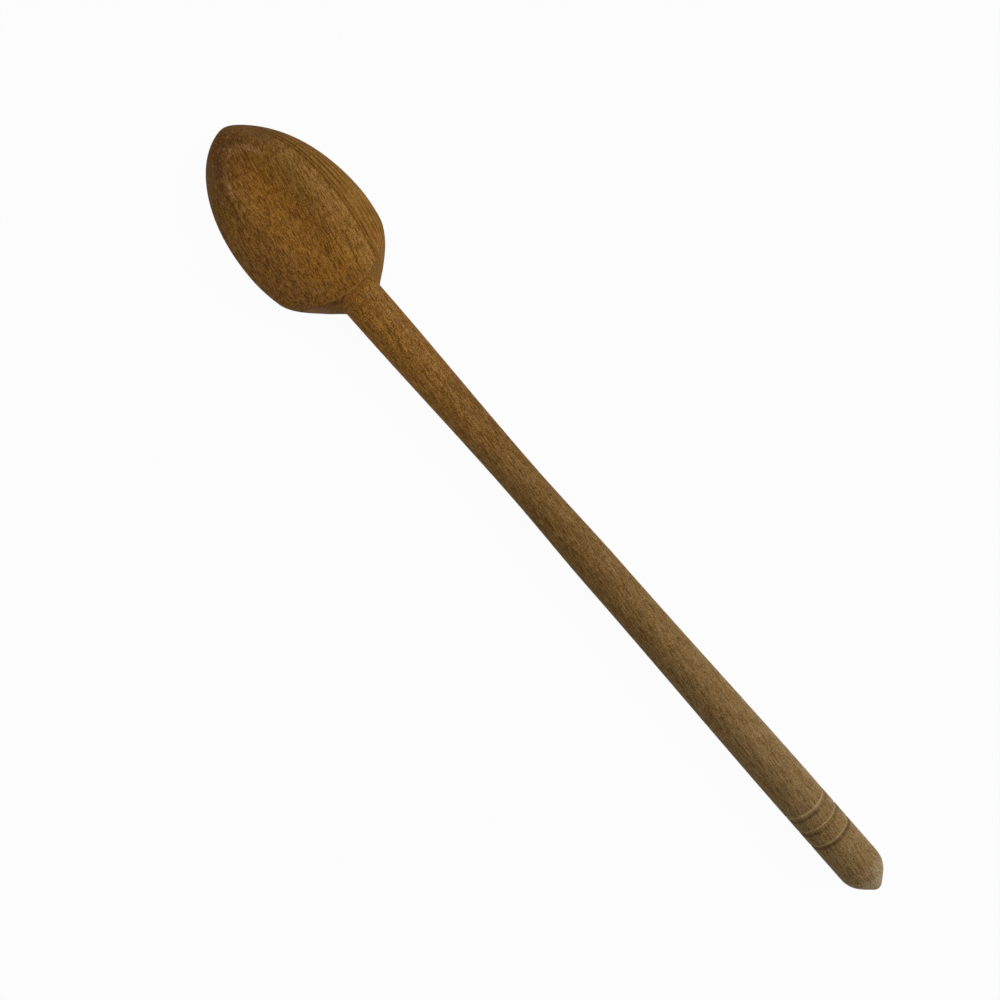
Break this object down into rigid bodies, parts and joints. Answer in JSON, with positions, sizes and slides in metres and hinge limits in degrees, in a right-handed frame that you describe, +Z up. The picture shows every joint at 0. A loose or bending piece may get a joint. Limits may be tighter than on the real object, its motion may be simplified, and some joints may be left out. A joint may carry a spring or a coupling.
{
  "type": "wooden spoon",
  "caption": "Long wooden cooking spoon with a pointed oval bowl, a shallow hollow, a waisted round handle and cut rings near its cone-shaped end, for stirring and scooping.",
  "frame": {"origin": "on the surface that the spoon lies on, below the middle of its length", "axes": "+X from the tip of the bowl to the end of the handle, +Y across the bowl, +Z up, out of the hollow"},
  "size_m": [0.3, 0.0424, 0.0163],
  "materials": {
    "beech": "bare, worn smooth, matt"
  },
  "bodies": {
    "root": {"bowl": "beech", "handle": "beech"}
  },
  "joints": []
}
